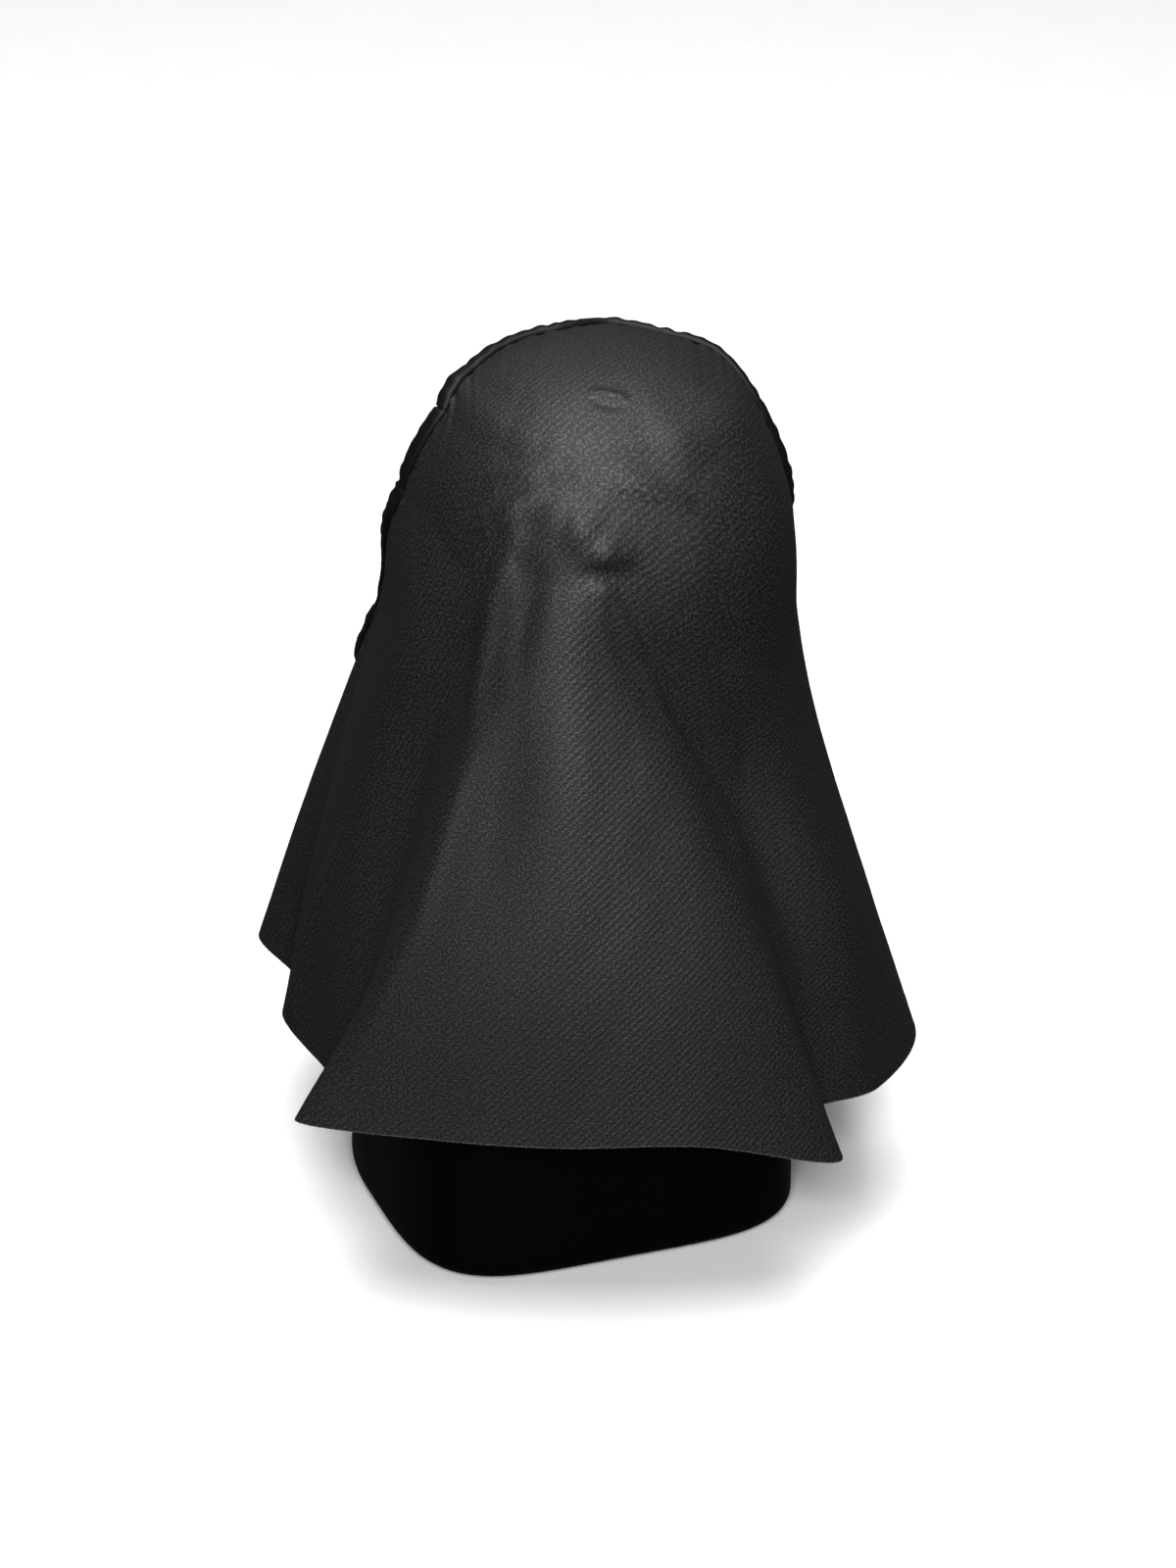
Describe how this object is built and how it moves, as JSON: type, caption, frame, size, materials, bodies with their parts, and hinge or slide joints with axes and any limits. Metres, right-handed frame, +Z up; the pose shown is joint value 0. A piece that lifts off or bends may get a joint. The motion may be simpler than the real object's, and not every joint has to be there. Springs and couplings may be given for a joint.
{
  "type": "barber cape",
  "caption": "Hooded head-and-neck cape in thin black twill, gathered on elastic round the face opening, draped in folds over a plain display head form.",
  "frame": {"origin": "middle of the base pad's underside, on the surface the display form stands on", "axes": "+Z up, +Y out of the face opening, -Y towards the back of the cape"},
  "size_m": [0.3094, 0.3067, 0.4103],
  "materials": {
    "cape_twill": "thin woven twill, matte",
    "binding": "close plain weave, matte",
    "elastic": "covered elastic, matte",
    "form_plastic": "satin moulded shell",
    "pad_felt": "pressed felt",
    "snap_metal": "black lacquered",
    "label_satin": "blank satin ribbon"
  },
  "bodies": {
    "display": {"head_form": "form_plastic", "base_pad": "pad_felt"},
    "cape": {"cape_panel": "cape_twill", "rim_casing": "binding", "elastic_band": "elastic", "flap_seam": "binding", "care_label": "label_satin", "snap_stud_1": "snap_metal", "snap_stud_2": "snap_metal", "snap_stud_3": "snap_metal", "snap_post_1": "snap_metal", "snap_post_2": "snap_metal", "snap_post_3": "snap_metal"},
    "flap": {"closure_flap": "cape_twill", "snap_cap_1": "snap_metal", "snap_cap_2": "snap_metal", "snap_cap_3": "snap_metal", "snap_socket_1": "snap_metal", "snap_socket_2": "snap_metal", "snap_socket_3": "snap_metal"}
  },
  "joints": [
    {"name": "cape_lift", "type": "slide", "parent": "display", "child": "cape", "axis": [0, 0, 1], "range_m": [0, 0.36]},
    {"name": "closure_swing", "type": "hinge", "parent": "cape", "child": "flap", "pos_m": [0.02, 0.12847, 0.14218], "axis": [0, 0.2506, -0.9681], "range_deg": [0, 140]}
  ]
}
